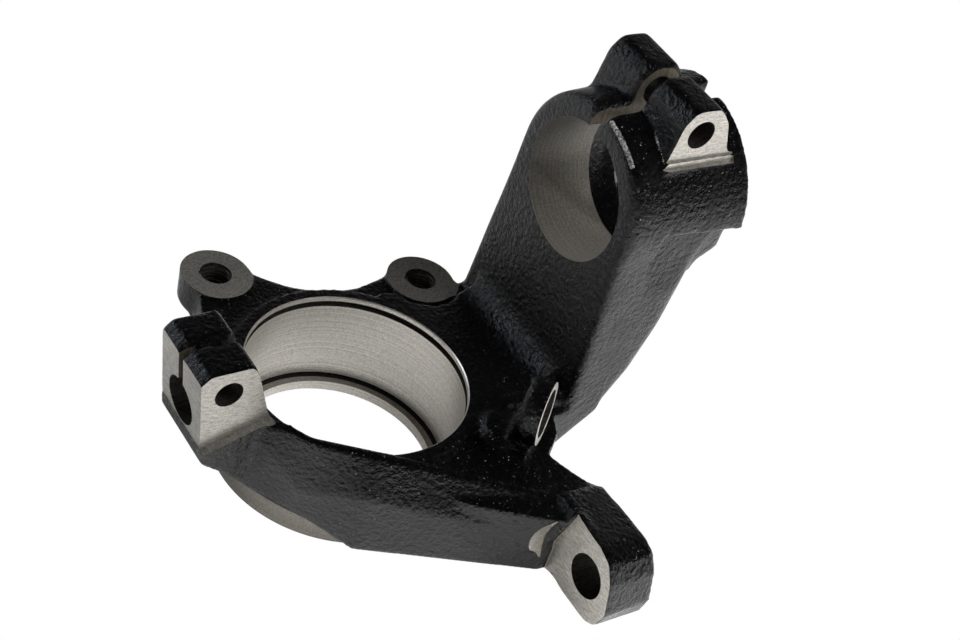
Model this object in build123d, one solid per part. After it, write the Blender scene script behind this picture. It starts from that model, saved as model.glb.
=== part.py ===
from build123d import *
import os
from math import cos, radians, sin, tan

# Steering knuckle: one ductile-iron casting, machined where it meets other parts.
# Frame: origin on the hub axis at the top of the bearing bore, +Z up the hub axis,
# +X towards the strut clamp, -Y towards the tie-rod lug. Sizes in millimetres.

# Hub: bearing bore, circlip groove, shoulder and turned boss
bore_r = 41.0
groove_r = 42.6
groove_top = 1.9
groove_w = 2.5
seat_depth = 39.0
shoulder_r = 37.2
hub_depth = 43.0
land_r = 46.0
ring_draft = 6.5
flange_depth = 31.5
boss_r = 46.8
boss_chamfer = 4.6
bearing_room_r = 43.8

# Strut clamp
strut_r = 26.0
strut_z = 72.0
clamp_front = 70.0
clamp_back = 120.0
barrel_r_front = 34.6
barrel_r_back = 37.4
relief_from = 97.4
relief_to = 107.5
relief_depth = 2.2
clamp_slot_w = 6.0
barrel_edge_r = 4.0

# Pinch ears of the strut clamp
ear_x = 95.4
ear_z = 109.8
ear_top = 120.0
ear_hole_r = 5.65
ear_face = 24.0
ear_far_face = 24.0
ear_spot_foot = 99.5

# Upright between the hub and the clamp: it tapers towards the clamp
leg_near_top = 33.3
leg_near_foot = 36.4
leg_far_top = 34.2
leg_far_foot = 40.0
leg_back_r = 8.0
leg_front_r = 3.0
leg_root_r = 12.0
leg_root_near = -26.0
leg_root_far = 30.0
panel_front = 86.0
panel_top = 75.0
panel_depth = 2.6
panel_fade = 50.0
foot_depth = 22.0
web_drop = 4.5

# Caliper lugs
lug_radius = 70.5
lug_mid_angle = 74.5
lug_half_angle = 35.0
lug_face_z = -4.0
lug_r = 13.5
lug_depth = 14.0
lug_plate_top = 4.6
lug_plate_depth = 20.0
thread_r = 5.1

# Ball-joint block: the stud axis leans by stud_tilt
stud_tilt = 10.0
stud_x = -70.5
stud_z = 4.5
stud_r = 8.95
block_near = -18.5
block_far = 15.0
block_spot = -15.4
joint_bolt_x = -63.0
joint_bolt_z = 19.0
joint_bolt_r = 5.2
joint_slot_w = 3.4

# Steering arm and tie-rod lug
arm_angle = -25.0
arm_out = 57.4
arm_depth = 32.2
ridge_angle = -33.0
ridge_out = 44.6
ridge_z = 6.5
rod_face = 41.5
rod_back = 63.0
rod_y = -99.0
rod_z = -16.5
rod_r = 8.25
cutter_r = 20.3
cutter_foot = 4.0
cutter_foot_r = 17.5

# Wheel-speed sensor boss
sensor_angle = -46.0
sensor_out = 68.0
sensor_z = 13.0
sensor_r = 11.9
sensor_hole_r = 9.0
sensor_len = 10.0
sensor_dome_r = 4.0

through = 200.0   # length of a cut that passes right through the casting

X = Vector(1, 0, 0)
Y = Vector(0, 1, 0)
Z = Vector(0, 0, 1)
stud = Vector(stud_x, 0, stud_z)
stud_axis = Vector(cos(radians(stud_tilt)), 0, sin(radians(stud_tilt)))


def polar(radius, angle):
    """A point in plan, by distance and direction from the hub axis."""
    return Vector(radius * cos(radians(angle)), radius * sin(radians(angle)), 0)


def rod(point, direction, radius, length, end_radius=None):
    """A cylinder, or cone, that starts at a point and runs along a direction."""
    plane = Plane(origin=point, z_dir=direction)
    low = (Align.CENTER, Align.CENTER, Align.MIN)
    if end_radius is None:
        return plane * Cylinder(radius, length, align=low)
    return plane * Cone(radius, end_radius, length, align=low)


def round_nosed_rod(point, direction, radius, length, end_radius, nose_r):
    """A rod or cone whose first edge is rounded."""
    inner = nose_r * (1 - cos(radians(45)))
    outline = Line((0, 0), (radius - nose_r, 0))
    outline += ThreePointArc((radius - nose_r, 0), (radius - inner, inner), (radius, nose_r))
    outline += Line((radius, nose_r), (end_radius, length)) + Line((end_radius, length), (0, length))
    outline += Line((0, length), (0, 0))
    return Plane(origin=point, z_dir=direction) * revolve(make_face(Plane.XZ * outline), Axis.Z)


def side_prism(points, low_y, high_y):
    """An outline in side view (X, Z), between two levels of Y."""
    face = make_face(Plane.XZ * Polyline(*points, close=True))
    return Pos(0, low_y, 0) * extrude(face, high_y - low_y, dir=Y)


def end_prism(points, low_x, high_x):
    """An outline seen along the strut (Y, Z), between two levels of X."""
    face = make_face(Plane.YZ * Polyline(*points, close=True))
    return Pos(low_x, 0, 0) * extrude(face, high_x - low_x, dir=X)


def plan_prism(points, low_z, high_z):
    """An outline in plan, between two levels of Z."""
    face = make_face(Polyline(*points, close=True))
    return Pos(0, 0, low_z) * extrude(face, high_z - low_z, dir=Z)


def section(angle, distance, points):
    """A cross-section of the arm: points are (distance out from the hub axis, Z)."""
    plane = Plane(origin=polar(distance, angle), x_dir=polar(1, angle - 90), z_dir=-polar(1, angle))
    return make_face(plane * Polyline(*points, close=True))


def hub_ring():
    """Cast ring with draft, down to the flange level, with the boss below it."""
    low_r = land_r + flange_depth * tan(radians(ring_draft))
    outline = Polyline((0, 0), (land_r, 0), (low_r, -flange_depth), (boss_r, -flange_depth),
                       (boss_r, -hub_depth + boss_chamfer), (boss_r - boss_chamfer, -hub_depth),
                       (0, -hub_depth), close=True)
    return revolve(make_face(Plane.XZ * outline), Axis.Z)


def lug_centre(side):
    """Where a caliper bolt meets its lug's face: side is 1 for the left lug, -1 for the right."""
    return polar(lug_radius, lug_mid_angle + side * lug_half_angle) + Z * lug_face_z


def caliper_lug(side):
    """A lug for a caliper bolt, thinner towards its underside, with a web into the ring."""
    angle = lug_mid_angle + side * lug_half_angle
    centre = lug_centre(side)
    outward = polar(1, angle)
    across = polar(1, angle + 90)
    body = rod(centre, -Z, lug_r, lug_depth, lug_r - 2)
    root = Plane(origin=polar(bore_r + 2, angle) - Z * 15, x_dir=across, z_dir=outward) * Rectangle(44, 22)
    tip = Plane(origin=centre - Z * (lug_depth / 2 + 1), x_dir=across, z_dir=outward)
    tip = tip * Rectangle(2 * lug_r - 5, lug_depth - 3)
    return body + loft([root, tip], ruled=True)


def lug_plate():
    """Plate on the ring between the caliper lugs, with a hollow outer edge."""
    left, right = lug_centre(1), lug_centre(-1)
    hollow = polar(land_r + 4.6, lug_mid_angle)
    left_edge = left + Vector(13.5, -2, 0)
    right_edge = right + Vector(-8, 8.2, 0)
    outline = Line((left.X - 8, left.Y), (-38, 49)) + Line((-38, 49), (-49.5, 14))
    outline += Line((-49.5, 14), (0, -10)) + Line((0, -10), (66, 30))
    outline += Line((66, 30), (right.X, right.Y)) + Line((right.X, right.Y), (right_edge.X, right_edge.Y))
    outline += ThreePointArc((right_edge.X, right_edge.Y), (hollow.X, hollow.Y), (left_edge.X, left_edge.Y))
    outline += Line((left_edge.X, left_edge.Y), (left.X - 8, left.Y))
    face = make_face(Plane.XY * outline)
    return Pos(0, 0, -lug_plate_top) * extrude(face, lug_plate_depth - lug_plate_top, dir=-Z)


def leg_section(level, front, reach, drop):
    """The leg's outline in plan at a level; drop runs from 0 at the clamp to 1 at the foot."""
    back = clamp_front + reach
    near = leg_near_top + (leg_near_foot - leg_near_top) * drop
    far = leg_far_top + (leg_far_foot - leg_far_top) * drop
    outline = make_face(Polyline((front, -near), (back, -near), (back, far), (front, far), close=True))
    back_corners = outline.vertices().sort_by(Axis.X)[-2:]
    outline = fillet(back_corners, leg_back_r)
    front_corners = outline.vertices().sort_by(Axis.X)[:2]
    return Pos(0, 0, level) * fillet(front_corners, leg_front_r)


def upright():
    """Leg with a flat front and rounded back, under the barrel that clamps the strut."""
    shank = [(strut_z, clamp_back - clamp_front, 0.0), (58, 42.0, 0.1), (46, 38.5, 0.25), (30, 36.0, 0.5),
             (10, 32.0, 0.75), (-4, 24.3, 0.95)]
    heel = [(-4, 24.3, 0.95), (-14, 13.2, 1.0), (-foot_depth, 5.0, 1.0)]
    leg = loft([leg_section(level, clamp_front, reach, drop) for level, reach, drop in shank], ruled=True)
    leg += loft([leg_section(level, clamp_front - leg_root_r, reach, drop) for level, reach, drop in heel], ruled=True)
    barrel = round_nosed_rod((clamp_front, 0, strut_z), X, barrel_r_front, clamp_back - clamp_front,
                             barrel_r_back, barrel_edge_r)
    keep = side_prism([(clamp_front, 125), (clamp_front, 40), (107, 40), (109.8, 46), (112.5, 55), (clamp_back, 60.5),
                       (clamp_back, 125)], -60, 60)
    root = Line((clamp_front - leg_root_r, 0), (clamp_front + 1, 0)) + Line((clamp_front + 1, 0),
                                                                         (clamp_front + 1, leg_root_r))
    root += Line((clamp_front + 1, leg_root_r), (clamp_front, leg_root_r))
    inner = leg_root_r * cos(radians(45))
    root += ThreePointArc((clamp_front, leg_root_r), (clamp_front - leg_root_r + inner, leg_root_r - inner),
                          (clamp_front - leg_root_r, 0))
    root = Pos(0, leg_root_near, 0) * extrude(make_face(Plane.XZ * root), leg_root_far - leg_root_near, dir=Y)
    panel = Plane(origin=(panel_front, -leg_near_top + panel_depth, panel_top), x_dir=X,
                  z_dir=Vector(0, -panel_fade, -panel_depth))
    hollow = panel * Box(60, 90, 30, align=(Align.MIN, Align.MAX, Align.MIN))
    return leg + (barrel & keep) + root - hollow


def ears():
    """Two pinch ears on top of the barrel, one each side of the slot."""
    outline = make_face(Plane.XZ * Polyline(
        (81.5, 86), (83.5, 98), (86.2, 114.5), (ear_x - 5, ear_top), (ear_x + 6, ear_top),
        (ear_x + 11.5, 113), (ear_x + 16, 99), (ear_x + 21, 92), close=True))
    outline = fillet(outline.vertices().filter_by(lambda v: v.Z > 110), 4.5)
    near = extrude(outline, ear_face + 2, dir=-Y)
    far = extrude(outline, ear_far_face, dir=Y)
    far = fillet(far.faces().sort_by(Axis.Y)[-1].edges().filter_by(lambda e: e.center().Z > 100), 1.5)
    return near + far + end_prism([(0, 98), (0, 110), (6, 110.8), (12, 109.3), (18.5, 105.6), (22, 98)],
                                  clamp_back - 14, clamp_back)


def ball_joint_block():
    """Block that clamps the ball-joint stud, its outer face square to the stud."""
    outline = make_face(Plane.XZ * Polyline(
        (-74.6, 25.3), (-71.5, 28.9), (-55.0, 29.6), (-52.4, 25), (-45.6, 7), (-43, 0.5), (-40, -6), (-32, -27.5),
        (-47, -27), (-60, -16), (-69.2, -9.5), (-69.5, -4), close=True))
    outline = fillet(outline.vertices().filter_by(lambda v: v.Z > 24), 1.6)
    return Pos(0, block_near, 0) * extrude(outline, block_far - block_near, dir=Y)


def arm():
    """Arm from the block, past the ring, down to the tie-rod lug."""
    level = -arm_depth
    start = make_face(Plane.YZ.offset(-50) * Polyline((0, -22), (-8, 7), (-14, 7), (-18.5, -1), (-18.5, -25),
                                                      close=True))
    beside = section(ridge_angle, -14, [(38, -26), (ridge_out, ridge_z), (47.5, ridge_z), (50.5, -14), (48.5, -26)])
    bend = section(ridge_angle, 9, [(38, level), (ridge_out, ridge_z), (48.6, ridge_z), (55.6, -7), (55.6, level)])
    end = section(arm_angle, 70, [(38, level), (46.5, -3.4), (49, -3.4), (arm_out, -15.3), (arm_out, level)])
    return loft([start, beside], ruled=True) + loft([beside, bend], ruled=True) + loft([bend, end], ruled=True)


def tie_rod_lug():
    """Lug for the tie rod's end, at the tip of the arm, with draft towards its back."""
    def outline(level, points):
        places = [(rod_y + along, rod_z + up) for along, up in points]
        return make_face(Plane.YZ.offset(level) * Polyline(*places, close=True))

    foot = -arm_depth - rod_z
    front = outline(rod_face, [(27, 15.5), (-1, 15.7), (-7.5, 13.5), (-11.8, 6.5), (-14.7, -5), (-11.8, -13.1),
                               (-7, foot), (27, foot)])
    back = outline(rod_back, [(27, 12.2), (0.5, 13.4), (-6, 11.5), (-10.2, 5.7), (-13.2, -5.6), (-11.3, -13.3),
                              (-6.5, foot), (27, foot)])
    return loft([front, back], ruled=True)


def sensor_boss():
    """Round boss that holds the wheel-speed sensor, pointing at the hub, on a low saddle."""
    outward = polar(1, sensor_angle)
    start = outward * (sensor_out - sensor_len) + Z * sensor_z
    seat = Plane(origin=start, z_dir=outward, x_dir=polar(1, sensor_angle + 90))
    reach = sensor_len - 1.5
    saddle = seat * Pos(0, 0, reach / 2) * Box(2 * sensor_r - 6, 2 * sensor_z + 10, reach)
    saddle &= Pos(0, 0, sensor_z - sensor_dome_r) * Box(through, through, through,
                                                        align=(Align.CENTER, Align.CENTER, Align.MAX))
    boss = round_nosed_rod(start, outward, sensor_r, sensor_len, sensor_r, sensor_dome_r)
    return boss + saddle


def webs():
    """Flat between ring and upright, and the web from the ring out to the arm."""
    foot = plan_prism([(20, -40), (48, -30), (72, -34), (74, 32), (62, 30), (30, 38)], -foot_depth, 0)
    plate = plan_prism([(0, -40), (44, -20), (68, -30), (61.7, -44.5), (52.2, -52.9), (54.7, -59.8),
                        (58.3, -67.6), (63, -74), (62, -84), (40, -84), (10, -66), (-10, -48)],
                       -foot_depth, -web_drop)
    return foot + plate


def machine(casting):
    """Cut every face, bore and thread core that is machined after casting."""
    up = (Align.CENTER, Align.CENTER, Align.MIN)
    casting -= Pos(0, 0, -seat_depth) * Cylinder(bore_r, through, align=up)
    casting -= Pos(0, 0, -groove_top - groove_w) * Cylinder(groove_r, groove_w, align=up)
    casting -= Pos(0, 0, -hub_depth - 1) * Cylinder(shoulder_r, hub_depth, align=up)
    casting -= Cylinder(bearing_room_r, 30, align=up)

    casting -= rod((0, 0, strut_z), X, strut_r, through)
    casting -= rod((relief_from, 0, strut_z), X, strut_r + relief_depth, relief_to - relief_from)
    casting -= Pos(0, 0, strut_z) * Box(through, clamp_slot_w, through, align=(Align.MIN, Align.CENTER, Align.MIN))
    casting -= rod((ear_x, -through / 2, ear_z), Y, ear_hole_r, through)
    casting -= Pos(ear_x, -ear_face, ear_spot_foot) * Box(60, 40, 60, align=(Align.CENTER, Align.MAX, Align.MIN))

    casting -= rod((rod_face - cutter_foot, rod_y, rod_z), -X, cutter_r, 60)
    casting -= rod((rod_face, rod_y, rod_z), -X, cutter_foot_r, cutter_foot, cutter_r)
    casting -= rod((0, rod_y, rod_z), X, rod_r, 100)

    casting -= side_prism([(-90, -13.5), (-68.5, -4.6), (-44.7, 5.2), (-30, 11), (-30, 50), (-90, 50)],
                          block_near - 20, block_spot)
    casting -= rod(stud - stud_axis * 20, stud_axis, stud_r, 62)
    casting -= rod((joint_bolt_x, -60, joint_bolt_z), Y, joint_bolt_r, 100)
    slot = Plane(origin=stud + Y * 0.25, x_dir=stud_axis, z_dir=Vector(-stud_axis.Z, 0, stud_axis.X))
    casting -= slot * Box(100, joint_slot_w, 60, align=up)

    outward = polar(1, sensor_angle)
    casting -= rod(outward * 30 + Z * sensor_z, outward, sensor_hole_r, 80)

    for side in (1, -1):
        casting -= rod(lug_centre(side) + Z * 14, -Z, lug_r + 1, 14)
        casting -= rod(lug_centre(side) + Z * 14, -Z, thread_r, 60)
    return casting


casting = hub_ring() + caliper_lug(1) + caliper_lug(-1) + lug_plate() + upright() + ears() + webs()
casting += ball_joint_block() + arm() + tie_rod_lug() + sensor_boss()
knuckle_casting = machine(casting)

os.makedirs("parts", exist_ok=True)
export_step(knuckle_casting, "parts/knuckle_casting.step")
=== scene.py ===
from math import acos, cos, pi, radians, sin

import bmesh
import bpy
from mathutils import Matrix, Quaternion, Vector


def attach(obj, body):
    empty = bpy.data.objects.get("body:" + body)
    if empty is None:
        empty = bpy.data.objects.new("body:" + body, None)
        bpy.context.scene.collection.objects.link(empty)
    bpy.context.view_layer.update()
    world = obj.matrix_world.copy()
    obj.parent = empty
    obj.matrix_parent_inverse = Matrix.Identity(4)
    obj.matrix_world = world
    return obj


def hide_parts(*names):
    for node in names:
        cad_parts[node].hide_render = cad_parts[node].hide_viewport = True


MM = 0.001

# ---- Sizes in millimetres and angles in degrees, on the frame of the casting ----
# hub: bearing bore, circlip groove, shoulder and turned boss
HUB_BORE_R = 41.0
HUB_SEAT_DEPTH = 39.0
HUB_DEPTH = 43.0
BORE_CHAMFER = 0.4
GROOVE_INSIDE = HUB_BORE_R - 3   # where the groove's tool starts, inside the bore
CIRCLIP_R = 42.6
CIRCLIP_TOP = 1.9
CIRCLIP_W = 2.5
SHOULDER_R = 37.2
SEAT_GROOVE = [(-1.2, 1.3), (0.8, 1.3), (0.8, -0.3), (-1.2, -0.3)]   # from the foot of the bore: out, up
FLANGE_DEPTH = 31.5
BOSS_R = 46.8
BOSS_CHAMFER = 4.6
BOSS_STOCK = 1.4
TURNED_RISE = 3.8

# upright and strut clamp
STRUT_R = 26.0
STRUT_Z = 72.0
CLAMP_FRONT = 70.0
BORED_TO = 97.4
CLAMP_SLOT_W = 6.0
PANEL_FRONT = 74.0
PANEL_EDGE_R = 8.0
PANEL_EDGE_STEPS = 6
PANEL_LEVELS = [   # level, reach, half width, depth, inner limit
    (74.8, 50, 33.25, 3.0, 29.2),
    (68, 49.5, 33.35, 2.5, 29.0),
    (58, 42.4, 33.55, 1.5, 25.5),
    (47, 38.8, 34.0, 0.2, 18),
    (30, 35.2, 34.8, 0, 18),
    (10, 28.5, 35.55, 0, 18),
    (-4, 20.3, 36.2, 0, 18),
    (-8, 17, 36.2, 0, 18),
    (-13.5, 12.3, 36.3, 0, 18),
]
EAR_X = 95.4
EAR_Z = 109.8
EAR_HOLE_R = 5.65
EAR_FACE = 24.0
EAR_FAR = 24.0
EAR_SLAB_X = 98.0
EAR_SLAB_W = 31.6
EAR_SPOT_FOOT = 99.7
EAR_STEP_FOOT = 97.4
EAR_STEP = 1.1
FLASH_THICKNESS = 1.2
FLASH_LINES = [   # x, radius, angle from the top
    [(70.6, 33.6, 9), (70.7, 33.9, 26), (71.0, 34.3, 41)],
    [(85.6, 34.9, 14), (84.2, 35.2, 27), (83.9, 35.4, 43)],
]

# caliper lugs
LUG_RADIUS = 70.5
LUG_MID_ANGLE = 74.5
LUG_HALF_ANGLE = 35.0
LUG_FACE_Z = -4.0
LUG_R = 13.5
LUG_CUTTER_R = LUG_R + 1.5
LUG_BOTTOM = 16.0
THREAD_CORE_R = 5.1
THREAD_OUTER_R = 6.0
THREAD_PITCH = 1.75
LOW_GROUND = [(35, 41), (40, 30), (49, 25.5), (58, 27), (62, 31), (66, 38), (60, 58), (40, 60)]
LOW_GROUND_DROP = 0.8   # how far the ground beside the right lug lies below its face

# ball-joint block
STUD_TILT = 10.0
STUD_X = -70.5
STUD_Z = 4.5
STUD_R = 8.95
BLOCK_NEAR = -18.5
BLOCK_FAR = 15.0
BLOCK_SPOT = -15.4
BLOCK_FACE_FOOT = -4.0
BLOCK_TOP_X = -74.4
BLOCK_TOP_Z = 25.3
JOINT_BOLT_X = -63.0
JOINT_BOLT_Z = 19.0
JOINT_BOLT_R = 5.2
JOINT_SLOT_W = 3.4
JOINT_SLOT_Y = 0.25
# the slab on its inner face, and the cutter that mills it: middle from the face's top, then size
SLAB_MID = (1.0, (BLOCK_NEAR + BLOCK_FAR) / 2, -14.6)
SLAB_SIZE = (4.0, BLOCK_FAR - BLOCK_NEAR - 1.6, 27.5)
SLAB_MILL_MID = (-10, 0, -8)
SLAB_MILL_SIZE = (20, 60, 2 * (BLOCK_TOP_Z - BLOCK_FACE_FOOT - 6.5))

# tie-rod lug
ROD_FACE = 41.5
ROD_BACK = 63.0
ROD_Y = -99.0
ROD_Z = -16.5
ROD_R = 8.25
CUTTER_R = 20.6
CUTTER_FOOT = 4.6

# sensor boss
SENSOR_ANGLE = -46.0
SENSOR_OUT = 68.0
SENSOR_Z = 13.0
SENSOR_R = 11.9
SENSOR_NECK = 5.0       # boss added behind its face
SENSOR_STOCK = 1.5      # metal left on the face before it is milled
SENSOR_CUTTER_R = 13.5
SENSOR_FACE_ANGLE = -51.0
SENSOR_FACE_RISE = 0.1
SENSOR_HOLE_R = 9.0
HUMP_OUT = 56.5
HUMP_DEPTH = 6.0
HUMP = [(0, 11.5), (5, 10.5), (8.5, 8)]   # rise, radius

# cast skin
STOCK = 2.5           # metal left on a face before it is machined
LAP = 3.0             # how far that metal reaches into the casting behind it
PLUG = 2.0            # how much wider than its hole a plug in the rough casting is
VOXEL = 0.95          # grid of the cast skin
SKIN_SMOOTHING = 9    # rounds of smoothing that leave the cast fillets
CAST_FACES = 130000   # triangles kept in the cast skin
SHARP_ANGLE = 32.0    # edges sharper than this stay sharp

# pattern sizes of the materials; real sand grains are about 0.3 mm and tool lines about 0.2 mm apart, too fine to
# show, so they are drawn as coarse as this
SAND_GRAIN = 1.7
SAND_PITS = 2.0
SKIN_SWELL = 11.0
GLINT_SPECKS = 0.8
CUT_GRAIN = 0.7
HUB_LINES = 0.9
TURNED_LINES = 0.7
MILLED_LINES = 0.6
SAWN_LINES = 0.8
FLASH_HIGHLIGHT_LINES = 1.4

X = Vector((1, 0, 0))
Y = Vector((0, 1, 0))
Z = Vector((0, 0, 1))
STUD = Vector((STUD_X, 0, STUD_Z))
STUD_AXIS = Vector((cos(radians(STUD_TILT)), 0, sin(radians(STUD_TILT))))


def polar(radius, angle):
    return Vector((radius * cos(radians(angle)), radius * sin(radians(angle)), 0))


# ---- Colour and nodes ----

def colour(hex_text):
    """An sRGB hex colour as linear RGBA."""
    values = [int(hex_text[i:i + 2], 16) / 255 for i in (1, 3, 5)]
    linear = [v / 12.92 if v <= 0.04045 else ((v + 0.055) / 1.055) ** 2.4 for v in values]
    return (*linear, 1.0)


def add(tree, kind, settings=None, **links):
    """Adds a node, sets its properties, and links or sets its inputs by name or index."""
    node = tree.nodes.new(kind)
    for name, value in (settings or {}).items():
        setattr(node, name, value)
    for name, value in links.items():
        key = int(name[2:]) if name.startswith("in") and name[2:].isdigit() else name.replace("_", " ")
        socket = node.inputs[key]
        if isinstance(value, bpy.types.NodeSocket):
            tree.links.new(value, socket)
        else:
            socket.default_value = value
    return node


def new_material(name):
    material = bpy.data.materials.new(name)
    material.use_nodes = True
    tree = material.node_tree
    tree.nodes.clear()
    return material, tree


def finish_material(tree, **sockets):
    """Ends a material in one principled shader with these inputs."""
    shader = add(tree, "ShaderNodeBsdfPrincipled", **sockets)
    add(tree, "ShaderNodeOutputMaterial", Surface=shader.outputs[0])


def ramp(tree, factor, stops):
    """A colour ramp: stops lists (place, colour)."""
    node = add(tree, "ShaderNodeValToRGB", Fac=factor)
    elements = node.color_ramp.elements
    for index, (place, shade) in enumerate(stops):
        element = elements[index] if index < 2 else elements.new(place)
        element.position = place
        element.color = shade
    return node


def grey(value):
    return (value, value, value, 1)


def painted_cast_iron():
    """Sand-cast ductile iron under thin black satin paint: a grainy skin with soft shine, and a few pale specks
    painted into its colour as glints on the grain.
    """
    material, tree = new_material("black_painted_cast_iron")
    place = add(tree, "ShaderNodeTexCoord").outputs["Object"]
    sand = add(tree, "ShaderNodeTexNoise", Vector=place, Scale=1 / (SAND_GRAIN * MM), Detail=3.0,
               Roughness=0.62)
    pits = add(tree, "ShaderNodeTexVoronoi", Vector=place, Scale=1 / (SAND_PITS * MM))
    swell = add(tree, "ShaderNodeTexNoise", Vector=place, Scale=1 / (SKIN_SWELL * MM), Detail=2.0)
    height = add(tree, "ShaderNodeMath", {"operation": "MULTIPLY_ADD"}, in0=pits.outputs["Distance"], in1=0.3,
                 in2=sand.outputs["Fac"])
    skin = add(tree, "ShaderNodeBump", Strength=1.0, Distance=0.75 * MM, Height=height.outputs[0])
    wave = add(tree, "ShaderNodeBump", Strength=0.4, Distance=0.8 * MM, Height=swell.outputs["Fac"],
               Normal=skin.outputs[0])
    tint = ramp(tree, sand.outputs["Fac"], [(0.3, colour("#020202")), (0.7, colour("#070708"))])
    # pale specks in the skin's colour: painted glints on the grain
    glint_noise = add(tree, "ShaderNodeTexNoise", Vector=place, Scale=1 / (GLINT_SPECKS * MM), Detail=1.0)
    glint_specks = ramp(tree, glint_noise.outputs["Fac"], [(0.72, grey(0.0)), (0.8, grey(1.0))])
    skin_and_glints = add(tree, "ShaderNodeMix", {"data_type": "RGBA"}, in0=glint_specks.outputs[0], in6=tint.outputs[0],
                    in7=colour("#6e6e6c"))
    gloss = ramp(tree, swell.outputs["Fac"], [(0.35, grey(0.2)), (0.65, grey(0.33))])
    finish_material(tree, Base_Color=skin_and_glints.outputs[2], Roughness=gloss.outputs[0], Normal=wave.outputs[0],
                    Metallic=0.0)
    return material


def machined_iron(name, dark, light, roughness, marks, metallic=0.85):
    """Iron cut back to bare metal: warm grey, with the tool's fine lines across it."""
    material, tree = new_material(name)
    place = add(tree, "ShaderNodeTexCoord").outputs["Object"]
    lines = marks(tree, place)
    grain = add(tree, "ShaderNodeTexNoise", Vector=place, Scale=1 / (CUT_GRAIN * MM), Detail=3.0)
    mixed = add(tree, "ShaderNodeMath", {"operation": "MULTIPLY_ADD"}, in0=grain.outputs["Fac"], in1=0.6,
                in2=lines)
    tint = ramp(tree, mixed.outputs[0], [(0.6, colour(dark)), (1.0, colour(light))])
    bump = add(tree, "ShaderNodeBump", Strength=0.5, Distance=0.05 * MM, Height=mixed.outputs[0])
    finish_material(tree, Base_Color=tint.outputs[0], Metallic=metallic, Roughness=roughness,
                    Normal=bump.outputs[0])
    return material


def ring_marks(axis, spacing):
    """Fine lines around an axis, as turning and boring leave them."""
    def build(tree, place):
        split = add(tree, "ShaderNodeSeparateXYZ", Vector=place)
        join = add(tree, "ShaderNodeCombineXYZ", **{"XYZ"[axis]: split.outputs[axis]})
        noise = add(tree, "ShaderNodeTexNoise", Vector=join.outputs[0], Scale=1 / (spacing * MM), Detail=4.0,
                    Roughness=0.7)
        return noise.outputs["Fac"]
    return build


def face_marks(direction, spacing):
    """Straight fine lines across a face, as a milling cutter leaves them."""
    def build(tree, place):
        turn = add(tree, "ShaderNodeMapping", Vector=place, Scale=direction)
        noise = add(tree, "ShaderNodeTexNoise", Vector=turn.outputs[0], Scale=1 / (spacing * MM), Detail=4.0,
                    Roughness=0.65)
        return noise.outputs["Fac"]
    return build


# ---- Shapes ----

def to_object(name, mesh_maker, material):
    """An object at the origin, its shape built by mesh_maker in millimetres."""
    shape = bmesh.new()
    mesh_maker(shape)
    bmesh.ops.remove_doubles(shape, verts=shape.verts, dist=1e-5)
    bmesh.ops.recalc_face_normals(shape, faces=shape.faces)
    for vertex in shape.verts:
        vertex.co *= MM
    mesh = bpy.data.meshes.new(name)
    shape.to_mesh(mesh)
    shape.free()
    mesh.materials.append(material)
    piece = bpy.data.objects.new(name, mesh)
    bpy.context.scene.collection.objects.link(piece)
    return piece


def turned(origin, axis, profile, steps=128):
    """A solid of revolution: profile lists (distance along the axis, radius)."""
    def build(shape):
        turn = Vector(axis).to_track_quat("Z", "Y")
        rings = []
        for along, radius in profile:
            ring = []
            for step in range(steps):
                angle = 2 * pi * step / steps
                local = Vector((radius * cos(angle), radius * sin(angle), along))
                ring.append(shape.verts.new(Vector(origin) + turn @ local))
            rings.append(ring)
        for low, high in zip(rings, rings[1:]):
            for step in range(steps):
                following = (step + 1) % steps
                shape.faces.new((low[step], low[following], high[following], high[step]))
        shape.faces.new(rings[0][::-1])
        shape.faces.new(rings[-1])
    return build


def block(centre, size, turn=None):
    """A box, turned about its centre if needed."""
    def build(shape):
        made = bmesh.ops.create_cube(shape, size=1)
        for vertex in made["verts"]:
            local = Vector(c * s for c, s in zip(vertex.co, size))
            vertex.co = Vector(centre) + (turn @ local if turn else local)
    return build


def prism(points, low, high, place):
    """An outline of (first, second) points between two levels; place(first, second, level) gives a corner."""
    def build(shape):
        rings = [[shape.verts.new(place(first, second, level)) for first, second in points]
                 for level in (low, high)]
        shape.faces.new(rings[0][::-1])
        shape.faces.new(rings[1])
        for i in range(len(points)):
            j = (i + 1) % len(points)
            shape.faces.new((rings[0][i], rings[0][j], rings[1][j], rings[1][i]))
    return build


def lofted(rings):
    """A solid through matching rings of corners, closed at both ends."""
    def build(shape):
        made = [[shape.verts.new(corner) for corner in ring] for ring in rings]
        shape.faces.new(made[0][::-1])
        shape.faces.new(made[-1])
        for low, high in zip(made, made[1:]):
            for i in range(len(low)):
                j = (i + 1) % len(low)
                shape.faces.new((low[i], low[j], high[j], high[i]))
    return build


def panel_ring(level, reach, half, depth, inner):
    """The upright's near back corner at a level, its side sunk by depth, no deeper in than inner."""
    back, near = CLAMP_FRONT + reach, -half + depth
    turn = min(pi / 2, acos(max(0.0, 1 - (-inner - near) / PANEL_EDGE_R)))
    angles = [turn * step / PANEL_EDGE_STEPS for step in range(PANEL_EDGE_STEPS + 1)]
    corner = [(back - PANEL_EDGE_R * (1 - sin(angle)), near + PANEL_EDGE_R * (1 - cos(angle))) for angle in angles]
    outline = [(PANEL_FRONT, -inner), (PANEL_FRONT, near)] + corner + [(corner[-1][0], -inner + 0.05)]
    return [Vector((x, y, level)) for x, y in outline]


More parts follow.
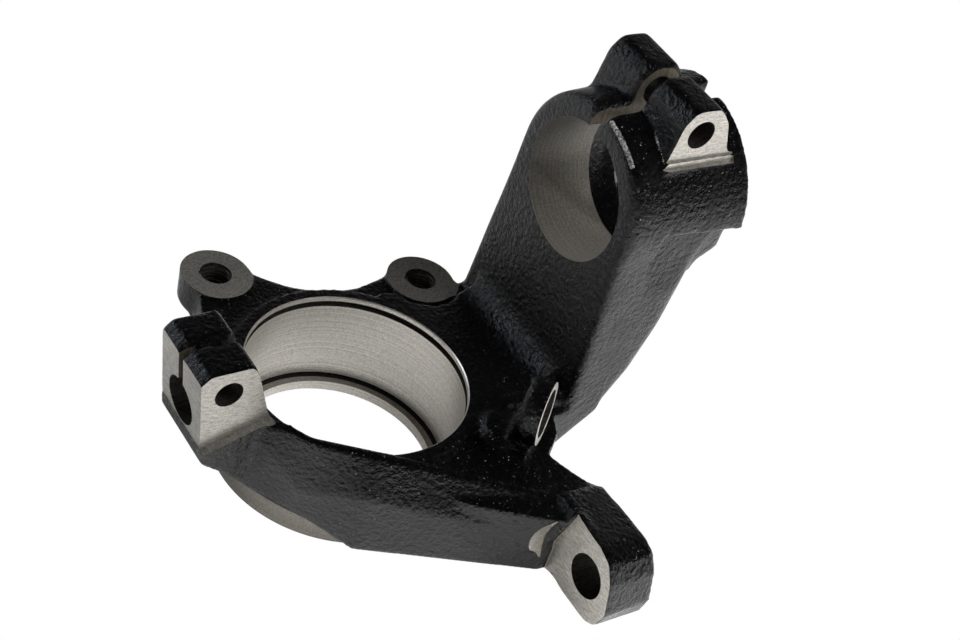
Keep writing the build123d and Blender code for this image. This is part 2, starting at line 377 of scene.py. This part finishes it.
def flash_line(points, thickness, steps=60):
    """A thin ragged line of flash through (x, radius, angle from the top) points around the strut bore."""
    def at(share):
        place = share * (len(points) - 1)
        i = min(int(place), len(points) - 2)
        x, radius, angle = (a + (b - a) * (place - i) for a, b in zip(points[i], points[i + 1]))
        return Vector((x, -radius * sin(radians(angle)), STRUT_Z + radius * cos(radians(angle))))

    rings = []
    for step in range(steps + 1):
        share = step / steps
        ragged = 0.55 + 0.45 * abs(sin(5.1 * step) * sin(1.7 * step + 1)) if 0 < step < steps else 0.3
        turn = (at(min(share + 0.01, 1)) - at(max(share - 0.01, 0))).to_track_quat("Z", "Y")
        rings.append([at(share) + turn @ Vector((cos(pi * k / 3), sin(pi * k / 3), 0)) * thickness * ragged
                      for k in range(6)])
    return lofted(rings)


def flash_lines(shape):
    """Both lines of flash left on the clamp beside its slot."""
    for points in FLASH_LINES:
        flash_line(points, FLASH_THICKNESS)(shape)


def side_view(x, z, y):
    return Vector((x, y, z))


def end_view(y, z, x):
    return Vector((x, y, z))


def plan_view(x, y, z):
    return Vector((x, y, z))


def rod_room(inset):
    """The room in front of the tie-rod lug's face, bounded towards the arm."""
    towards = [(-84.6, 4), (-85.1, -0.7), (-79.6, -18.9), (-80.3, -22), (-80.0, -40)]
    return [(y - inset, z) for y, z in towards] + [(-135, -40), (-135, 4)]


def collar(corners, steps=128):
    """A ring about the hub axis whose cross-section is a list of (radius, level) corners."""
    def build(shape):
        rings = []
        for radius, level in corners:
            rings.append([shape.verts.new((radius * cos(2 * pi * step / steps),
                                           radius * sin(2 * pi * step / steps), level))
                          for step in range(steps)])
        for first, second in zip(rings, rings[1:] + rings[:1]):
            for step in range(steps):
                following = (step + 1) % steps
                shape.faces.new((first[step], first[following], second[following], second[step]))
    return build


def apply_modifiers(piece):
    """Keeps what the piece's modifiers make of it as its mesh."""
    graph = bpy.context.evaluated_depsgraph_get()
    result = bpy.data.meshes.new_from_object(piece.evaluated_get(graph))
    piece.modifiers.clear()
    old = piece.data
    piece.data = result
    bpy.data.meshes.remove(old)


def combine(piece, tool, operation):
    """Adds or cuts a tool, keeps the result as the piece's mesh, and drops the tool."""
    step = piece.modifiers.new("step", "BOOLEAN")
    step.operation = operation
    step.solver = "EXACT"
    step.object = tool
    step.material_mode = "TRANSFER"
    apply_modifiers(piece)
    bpy.data.objects.remove(tool)


def caliper_threads(centres, material):
    """One ridge swept along a helix, placed in each lug's hole."""
    tree = bpy.data.node_groups.new("threads", "GeometryNodeTree")
    tree.interface.new_socket("Geometry", in_out="OUTPUT", socket_type="NodeSocketGeometry")
    turns = (LUG_BOTTOM - 1) / THREAD_PITCH
    helix = add(tree, "GeometryNodeCurveSpiral", Resolution=40, Rotations=turns,
                Start_Radius=THREAD_OUTER_R * MM, End_Radius=THREAD_OUTER_R * MM,
                Height=turns * THREAD_PITCH * MM)
    ridge = add(tree, "GeometryNodeCurvePrimitiveCircle", {"mode": "RADIUS"}, Resolution=4,
                Radius=(THREAD_OUTER_R - THREAD_CORE_R) * MM)
    swept = add(tree, "GeometryNodeCurveToMesh", Curve=helix.outputs[0], Profile_Curve=ridge.outputs[0],
                Fill_Caps=True)
    join = tree.nodes.new("GeometryNodeJoinGeometry")
    for centre in centres:
        place = add(tree, "GeometryNodeTransform", Geometry=swept.outputs[0],
                    Translation=(centre + Z * (LUG_FACE_Z - LUG_BOTTOM + 0.4)) * MM)
        tree.links.new(place.outputs[0], join.inputs[0])
    coated = add(tree, "GeometryNodeSetMaterial", Geometry=join.outputs[0], Material=material)
    add(tree, "NodeGroupOutput", in0=coated.outputs[0])
    piece = to_object("threads", block((0, 0, 0), (1, 1, 1)), material)
    made = piece.modifiers.new("threads", "NODES")
    made.node_group = tree
    apply_modifiers(piece)
    return piece


# ---- Scene ----
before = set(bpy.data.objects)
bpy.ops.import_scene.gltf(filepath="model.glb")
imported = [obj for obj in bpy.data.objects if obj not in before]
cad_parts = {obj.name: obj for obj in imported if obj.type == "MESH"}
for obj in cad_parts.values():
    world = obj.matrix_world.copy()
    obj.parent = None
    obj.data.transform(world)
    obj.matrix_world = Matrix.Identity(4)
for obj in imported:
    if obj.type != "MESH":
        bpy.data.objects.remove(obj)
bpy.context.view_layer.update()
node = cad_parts["knuckle_casting"]

paint = painted_cast_iron()
# a bored bearing seat: the brightest metal, pale with rings round the hub
bored_hub = machined_iron("bored_iron_hub", "#b8b3ab", "#f2eee6", 0.36, ring_marks(2, HUB_LINES))
# a turned face left in the air: duller and darker rings
turned_boss = machined_iron("turned_iron_boss", "#6c6862", "#99948b", 0.42, ring_marks(2, TURNED_LINES))
# a bore in painted shade: the same bored iron as the hub's, its colours made dim for the shade deep in the clamp;
# hardly a mirror, with rings round the strut
strut_bore_shaded = machined_iron("bored_iron_strut", "#55524c", "#8c887f", 0.45, ring_marks(0, TURNED_LINES), 0.4)
# a milled face: pale, with straight lines across its height
milled = machined_iron("face_milled_iron", "#928e87", "#cdc9c1", 0.38, face_marks((0.2, 0.2, 1.0), MILLED_LINES))
# a spot-faced round: mid grey and slightly mottled
faced = machined_iron("spot_faced_iron", "#75726d", "#a8a59f", 0.42, face_marks((1.0, 0.6, 0.5), TURNED_LINES),
                      0.7)
# a sawn slot: brownish, with coarse lines along the cut
sawn = machined_iron("sawn_iron", "#5e574d", "#8a8173", 0.5, face_marks((1.0, 0.1, 0.1), SAWN_LINES))
# flash painted pale: patches of pale grey on black along the ridges, a painted highlight
rubbed = machined_iron("rubbed_cast_iron", "#1c1c1e", "#b4b4b1", 0.4, face_marks((1.0, 1.0, 1.0), FLASH_HIGHLIGHT_LINES),
                       0.6)
# the walls of holes and grooves: painted shade, dark colours standing in for the little light that reaches them
drilled = machined_iron("drilled_iron", "#2c2a28", "#5c5852", 0.5, ring_marks(1, MILLED_LINES))

casting = bpy.data.objects.new("knuckle", node.data.copy())
bpy.context.scene.collection.objects.link(casting)
casting.data.materials.clear()
casting.data.materials.append(paint)
merged = bmesh.new()
merged.from_mesh(casting.data)
bmesh.ops.remove_doubles(merged, verts=merged.verts, dist=1e-6)
for face in merged.faces:
    face.material_index = 0
merged.to_mesh(casting.data)
merged.free()

# the low ground beside the right lug, cast and not machined
hollow = prism(LOW_GROUND, LUG_FACE_Z - LOW_GROUND_DROP, 10, plan_view)
combine(casting, to_object("hollow", hollow, paint), "DIFFERENCE")

lugs = [polar(LUG_RADIUS, LUG_MID_ANGLE + side * LUG_HALF_ANGLE) for side in (1, -1)]
sensor_way = polar(1, SENSOR_ANGLE)
sensor_face = (polar(1, SENSOR_FACE_ANGLE) + Z * SENSOR_FACE_RISE).normalized()
sensor_seat = sensor_way * SENSOR_OUT + Z * SENSOR_Z
block_turn = Matrix.Rotation(-radians(STUD_TILT), 3, "Y")
block_face = Vector((BLOCK_TOP_X, 0, BLOCK_TOP_Z))
ear_outline = [(82.5, EAR_STEP_FOOT - 0.4), (86.0, 101), (86.6, 114.6), (90.2, 119.4), (99.8, 119.4),
               (105.6, 113.5), (110.6, 101.5), (113.6, EAR_STEP_FOOT - 0.4)]
rod_outline = [(-84.4, 0.6), (-87.6, -0.2), (-99.6, -1.4), (-105.9, -3.4), (-110.2, -10.3), (-113.0, -21.4),
               (-110.2, -29.2), (-105.7, -31.4), (-91.0, -31.4), (-84.0, -27.0), (-81.6, -18.0),
               (-81.8, -11.0), (-83.4, -5.5)]
spot_outline = [(-72.6, -5.4), (-46.0, 5.5), (-48.6, 12.5), (-53.6, 25.5), (-56.2, 28.4), (-70.6, 27.9),
                (-73.6, 24.5)]
spot_room = [(-90, -13.5), (-68.5, -4.6), (-44.7, 5.2), (-30, 11), (-30, 50), (-90, 50)]

# stock: the cast forms that the CAD part lacks, and metal over each place that will be machined
stock = [
    # the upright's side and its rounded back corner
    lofted([panel_ring(*level) for level in PANEL_LEVELS]),
    # hub: the bore's plug and the boss's outside
    turned((0, 0, 0), -Z, [(0, HUB_BORE_R + STOCK), (HUB_DEPTH, HUB_BORE_R + STOCK)]),
    collar([(SHOULDER_R + PLUG, -FLANGE_DEPTH + LAP), (BOSS_R + BOSS_STOCK, -FLANGE_DEPTH + LAP),
            (BOSS_R + BOSS_STOCK, -HUB_DEPTH), (SHOULDER_R + PLUG, -HUB_DEPTH)]),
    # strut clamp: the bore's plug, the bolt hole's plug and the ear's face
    turned((CLAMP_FRONT, 0, STRUT_Z), X, [(0, STRUT_R + LAP), (BORED_TO - CLAMP_FRONT, STRUT_R + LAP)]),
    turned((EAR_X, -EAR_FACE, EAR_Z), Y, [(0, EAR_HOLE_R + PLUG), (EAR_FACE + EAR_FAR, EAR_HOLE_R + PLUG)]),
    prism(ear_outline, -EAR_FACE - STOCK, -EAR_FACE + LAP, side_view),
    # tie-rod lug: its face and the hole's plug
    prism(rod_outline, ROD_FACE - STOCK, ROD_FACE + LAP, end_view),
    turned((ROD_FACE, ROD_Y, ROD_Z), X, [(0, ROD_R + PLUG), (ROD_BACK - ROD_FACE, ROD_R + PLUG)]),
    # ball-joint block: the bolt's face and the slab on the inner face
    prism(spot_outline, BLOCK_NEAR, BLOCK_SPOT + LAP, side_view),
    block(block_face + block_turn @ Vector(SLAB_MID), SLAB_SIZE, block_turn),
    # sensor boss: the hump under it and its face
    turned(sensor_way * HUMP_OUT - Z * HUMP_DEPTH, Z, HUMP, 64),
    turned(sensor_seat - sensor_face * SENSOR_NECK, sensor_face,
           [(0, SENSOR_R), (SENSOR_NECK + SENSOR_STOCK, SENSOR_R)], 64),
]
for centre in lugs:
    stock.append(turned(centre + Z * (LUG_FACE_Z + STOCK), -Z, [(0, LUG_R), (STOCK + 12, LUG_R - 1)]))
for index, shape in enumerate(stock):
    combine(casting, to_object("stock_%d" % index, shape, paint), "UNION")

# the cast skin: an even grid, smoothed so that every cast corner is rounded
remesh = casting.modifiers.new("skin", "REMESH")
remesh.mode = "VOXEL"
remesh.voxel_size = VOXEL * MM
smooth = casting.modifiers.new("fillets", "SMOOTH")
smooth.iterations = SKIN_SMOOTHING
smooth.factor = 0.5
apply_modifiers(casting)
triangles = sum(len(p.vertices) - 2 for p in casting.data.polygons)
thin = casting.modifiers.new("thin", "DECIMATE")
thin.ratio = min(1.0, CAST_FACES / triangles)
apply_modifiers(casting)

# machining, in this order: the lugs' tools come first, since the boolean leaves pieces of them on a mesh already
# cut; each tool is only as long as its cut needs, and its material is what it leaves behind, the holes and grooves
# getting painted shade
cuts = []
for centre in lugs:
    cuts.append((turned(centre + Z * (LUG_FACE_Z + 12), -Z, [(0, LUG_CUTTER_R), (12, LUG_CUTTER_R)], 90), faced))
    cuts.append((turned(centre + Z * 3, -Z, [(0, THREAD_OUTER_R), (27, THREAD_OUTER_R)], 62), drilled))
cuts += [
    # hub: bore and shoulder, circlip groove, groove at the bore's foot, the boss's outside and underside
    (turned((0, 0, 0), -Z, [(-60, HUB_BORE_R + BORE_CHAMFER), (0, HUB_BORE_R + BORE_CHAMFER),
                            (BORE_CHAMFER, HUB_BORE_R), (HUB_SEAT_DEPTH, HUB_BORE_R),
                            (HUB_SEAT_DEPTH, SHOULDER_R), (HUB_DEPTH + 5, SHOULDER_R)]), bored_hub),
    # both grooves are cut in the dark material of painted shade
    (collar([(GROOVE_INSIDE, -CIRCLIP_TOP), (CIRCLIP_R, -CIRCLIP_TOP), (CIRCLIP_R, -CIRCLIP_TOP - CIRCLIP_W),
             (GROOVE_INSIDE, -CIRCLIP_TOP - CIRCLIP_W)]), drilled),
    (collar([(HUB_BORE_R + out, -HUB_SEAT_DEPTH + up) for out, up in SEAT_GROOVE]), drilled),
    (collar([(BOSS_R, -FLANGE_DEPTH + TURNED_RISE), (BOSS_R + 4, -FLANGE_DEPTH + TURNED_RISE),
             (BOSS_R + 4, -HUB_DEPTH - 5), (BOSS_R - BOSS_CHAMFER - 5, -HUB_DEPTH - 5),
             (BOSS_R, -HUB_DEPTH + BOSS_CHAMFER)]), turned_boss),
    (turned((0, 0, -HUB_DEPTH), -Z, [(0, 60), (5, 60)]), turned_boss),
    # strut clamp: bore, slot, bolt hole, the ear's milled face and the step under it
    (turned((CLAMP_FRONT - 60, 0, STRUT_Z), X, [(0, STRUT_R), (180, STRUT_R)]), strut_bore_shaded),
    (block((95, 0, STRUT_Z + 40), (90, CLAMP_SLOT_W, 80)), sawn),
    (turned((EAR_X, -60, EAR_Z), Y, [(0, EAR_HOLE_R), (120, EAR_HOLE_R)], 48), drilled),
    (block((EAR_SLAB_X, -EAR_FACE - 10, EAR_SPOT_FOOT + 20), (EAR_SLAB_W, 20, 40)), milled),
    (block((EAR_SLAB_X, -EAR_FACE - EAR_STEP - 10, EAR_STEP_FOOT + 20), (EAR_SLAB_W, 20, 40)), milled),
    # tie-rod lug: the room in front of it as cast, its milled face, the cutter's bite in the arm, the hole
    (prism(rod_room(0), ROD_FACE - 40, ROD_FACE - 0.3, end_view), paint),
    (prism(rod_room(0.15), ROD_FACE - 38, ROD_FACE, end_view), milled),
    (turned((ROD_FACE - CUTTER_FOOT, ROD_Y, ROD_Z), -X, [(0, CUTTER_R), (20, CUTTER_R)], 96), milled),
    (turned((ROD_FACE - 20, ROD_Y, ROD_Z), X, [(0, ROD_R), (60, ROD_R)], 64), drilled),
    # ball-joint block: inner face, the bolt's face, stud bore, bolt hole, slot
    (block(block_face + block_turn @ Vector(SLAB_MILL_MID), SLAB_MILL_SIZE, block_turn), milled),
    (prism(spot_room, BLOCK_SPOT - 20, BLOCK_SPOT, side_view), milled),
    (turned(STUD - STUD_AXIS * 20, STUD_AXIS, [(0, STUD_R), (62, STUD_R)], 64), drilled),
    (turned((JOINT_BOLT_X, BLOCK_NEAR - 7, JOINT_BOLT_Z), Y, [(0, JOINT_BOLT_R), (45, JOINT_BOLT_R)], 52),
     drilled),
    (block(STUD + Y * JOINT_SLOT_Y + block_turn @ Vector((0, 0, 30)), (90, JOINT_SLOT_W, 60), block_turn), sawn),
    # sensor boss: face and hole
    (turned(sensor_seat, sensor_face, [(0, SENSOR_CUTTER_R), (5, SENSOR_CUTTER_R)], 64), milled),
    (turned(sensor_way * 40 + Z * SENSOR_Z, sensor_way, [(0, SENSOR_HOLE_R), (60, SENSOR_HOLE_R)], 64), drilled),
]
for index, (shape, material) in enumerate(cuts):
    combine(casting, to_object("cut_%d" % index, shape, material), "DIFFERENCE")

for polygon in casting.data.polygons:
    polygon.use_smooth = True
casting.data.set_sharp_from_angle(angle=radians(SHARP_ANGLE))
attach(casting, "root")
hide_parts("knuckle_casting")

# the threads wear the dark material of painted shade in the holes
threads = caliper_threads(lugs, drilled)
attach(threads, "root")
# the flash lines wear the pale material of painted highlight
flash = to_object("flash", flash_lines, rubbed)
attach(flash, "root")

# ---- Camera ----
CAMERA_PLACE = Vector((-350.1, -413.2, 457.0)) * MM
CAMERA_AIM = Vector((61.7, 13.7, 0.0)) * MM
CAMERA_ROLL = 19.39
CAMERA_LENS = 74.43
camera_data = bpy.data.cameras.new("camera")
camera_data.sensor_width = 36.0
camera_data.lens = CAMERA_LENS
camera_data.clip_start = 0.01
camera = bpy.data.objects.new("camera", camera_data)
bpy.context.scene.collection.objects.link(camera)
look = (CAMERA_AIM - CAMERA_PLACE).to_track_quat("-Z", "Y")
camera.rotation_mode = "QUATERNION"
camera.rotation_quaternion = look @ Quaternion((0, 0, 1), radians(CAMERA_ROLL))
camera.location = CAMERA_PLACE
bpy.context.scene.camera = camera

# ---- Floor and light ----
FLOOR_Z = -43.0


def white_floor():
    """White to the eye, a pale grey to the light, and a faint glow in what the metal mirrors."""
    material, tree = new_material("white_floor")
    path = add(tree, "ShaderNodeLightPath")
    diffuse = add(tree, "ShaderNodeBsdfDiffuse", Color=colour("#f4f4f4"))
    glow = add(tree, "ShaderNodeEmission", Color=colour("#ffffff"), Strength=1.0)
    mirrored = add(tree, "ShaderNodeMath", {"operation": "MULTIPLY"}, in0=path.outputs["Is Glossy Ray"],
                   in1=0.2)
    share = add(tree, "ShaderNodeMath", {"operation": "MAXIMUM"}, in0=path.outputs["Is Camera Ray"],
                in1=mirrored.outputs[0])
    both = add(tree, "ShaderNodeMixShader", in0=share.outputs[0], in1=diffuse.outputs[0], in2=glow.outputs[0])
    add(tree, "ShaderNodeOutputMaterial", Surface=both.outputs[0])
    return material


floor = to_object("floor", block((0, 0, FLOOR_Z - 5.2), (6000, 6000, 10)), white_floor())

world = bpy.data.worlds.new("studio")
bpy.context.scene.world = world
world.use_nodes = True
sky = world.node_tree
sky.nodes.clear()
path = add(sky, "ShaderNodeLightPath")
seen_white = add(sky, "ShaderNodeBackground", Color=colour("#ffffff"), Strength=1.0)
# what the metal mirrors: a pale room at the horizon that darkens quickly overhead
way = add(sky, "ShaderNodeTexCoord").outputs["Generated"]
height = add(sky, "ShaderNodeSeparateXYZ", Vector=way).outputs["Z"]
room = ramp(sky, height, [(0.0, grey(0.45)), (0.12, grey(0.2)), (0.3, grey(0.04)), (0.5, grey(0.004))])
mirrored = add(sky, "ShaderNodeBackground", Color=room.outputs["Color"], Strength=1.0)
dim = add(sky, "ShaderNodeBackground", Color=colour("#ffffff"), Strength=0.1)
shine = add(sky, "ShaderNodeMixShader", in0=path.outputs["Is Glossy Ray"], in1=dim.outputs[0],
            in2=mirrored.outputs[0])
choose = add(sky, "ShaderNodeMixShader", in0=path.outputs["Is Camera Ray"], in1=shine.outputs[0],
             in2=seen_white.outputs[0])
add(sky, "ShaderNodeOutputWorld", Surface=choose.outputs[0])


def softbox(name, direction, distance, size, power, tint, mirrored=True, aim=(30, -10, 20), spread=180):
    """A rectangular lamp, size and distance in mm, power in W, facing aim from a direction."""
    data = bpy.data.lights.new(name, "AREA")
    data.shape = "RECTANGLE"
    data.size, data.size_y = size[0] * MM, size[1] * MM
    data.energy = power
    data.color = colour(tint)[:3]
    data.spread = radians(spread)
    lamp = bpy.data.objects.new(name, data)
    lamp.location = (Vector(aim) + Vector(direction).normalized() * distance) * MM
    lamp.rotation_euler = (-Vector(direction)).to_track_quat("-Z", "Y").to_euler()
    lamp.visible_glossy = mirrored
    bpy.context.scene.collection.objects.link(lamp)


softbox("right_front", (0.5, -0.72, 0.85), 540, (350, 350), 5.3, "#ffffff", mirrored=False)
softbox("left_back", (-0.55, 0.8, 0.36), 900, (300, 180), 1.2, "#dfe7f5")
softbox("into_clamp", (-0.5, 0.3, 0.8), 420, (50, 50), 0.02, "#ffffff", mirrored=False, aim=(84, 0, 50),
        spread=20)
softbox("left", (-0.8, -0.5, 0.5), 900, (400, 400), 1.3, "#ffffff", mirrored=False)

bpy.context.scene.view_settings.view_transform = "Standard"
